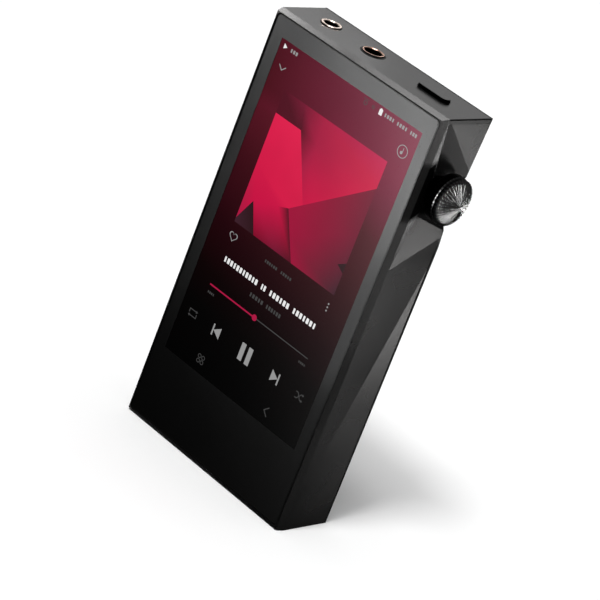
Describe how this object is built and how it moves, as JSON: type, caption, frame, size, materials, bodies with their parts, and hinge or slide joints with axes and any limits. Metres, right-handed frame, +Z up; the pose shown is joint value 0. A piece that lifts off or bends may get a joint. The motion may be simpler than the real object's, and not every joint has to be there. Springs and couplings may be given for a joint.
{
  "type": "digital audio player",
  "caption": "Slim upright pocket audio player: glass front, faceted dark metal case, fluted side volume knob in a notch, ringed headphone jacks and press buttons.",
  "frame": {"origin": "centre of the bottom face, which the player stands on", "axes": "+Z up along the long side, -Y out of the screen, +X towards the volume knob"},
  "size_m": [0.0675, 0.019, 0.1195],
  "materials": {
    "anodised_case": "fine bead-blasted, dark grey anodised",
    "anodised_button": "dark grey anodised with black sides",
    "knob_metal": "fluted and polished, dark anodised",
    "rear_glass": "gloss black with a faint faceted pattern",
    "cover_glass": "clear, gloss",
    "gasket": "matt black",
    "screen": "lit crimson interface",
    "diffuser": "white reflector film",
    "flex": "amber polyimide film",
    "steel_sheet": "satin sheet steel",
    "steel_fastener": "turned steel",
    "black_plastic": "moulded black nylon",
    "circuit_board": "solder-masked board",
    "chip_resin": "moulded chip resin",
    "brass": "turned brass",
    "contact_gold": "gold-plated spring contact",
    "rose_gold": "polished rose-gold plating",
    "battery_wrap": "foil pouch with dark wrap"
  },
  "bodies": {
    "player": {"main_housing": "anodised_case", "top_cap": "anodised_case", "rear_cover": "rear_glass", "rear_gasket": "gasket", "cover_glass": "cover_glass", "glass_gasket": "gasket", "display_panel": "screen", "backlight_unit": "diffuser", "display_flex": "flex", "midframe": "steel_sheet", "midframe_screws": "steel_fastener", "chin_carrier": "black_plastic", "wifi_antenna": "flex", "main_board": "circuit_board", "processor_shield": "steel_sheet", "memory_chips": "chip_resin", "audio_board": "circuit_board", "dac_chips": "chip_resin", "amplifier_shield": "steel_sheet", "board_spacers": "brass", "board_screws": "steel_fastener", "battery_pack": "battery_wrap", "battery_flex": "flex", "port_board": "circuit_board", "usb_c_shell": "steel_sheet", "usb_c_tongue": "black_plastic", "microsd_socket": "steel_sheet", "jack_35_ring": "rose_gold", "jack_35_body": "black_plastic", "jack_35_contacts": "contact_gold", "jack_44_ring": "rose_gold", "jack_44_seat": "black_plastic", "jack_44_body": "black_plastic", "jack_44_contacts": "contact_gold", "encoder_body": "steel_sheet", "encoder_nut": "steel_fastener", "power_switch": "steel_sheet", "side_switch_strip": "flex"},
    "knob": {"volume_knob": "knob_metal", "knob_insert": "brass", "encoder_shaft": "steel_fastener"},
    "power_key": {"power_button": "anodised_button"},
    "previous_key": {"previous_button": "anodised_button"},
    "play_key": {"play_button": "anodised_button"},
    "next_key": {"next_button": "anodised_button"}
  },
  "joints": [
    {"name": "volume_turn", "type": "hinge", "parent": "player", "child": "knob", "pos_m": [0.0325, 0.0019, 0.0975], "axis": [1, 0, 0], "continuous": true},
    {"name": "power_press", "type": "slide", "parent": "player", "child": "power_key", "axis": [0, 0, -1], "range_m": [0, 0.00035], "stiffness_N_per_m": 1500},
    {"name": "previous_press", "type": "slide", "parent": "player", "child": "previous_key", "axis": [1, 0, 0], "range_m": [0, 0.0003], "stiffness_N_per_m": 1500},
    {"name": "play_press", "type": "slide", "parent": "player", "child": "play_key", "axis": [1, 0, 0], "range_m": [0, 0.0003], "stiffness_N_per_m": 1500},
    {"name": "next_press", "type": "slide", "parent": "player", "child": "next_key", "axis": [1, 0, 0], "range_m": [0, 0.0003], "stiffness_N_per_m": 1500}
  ]
}
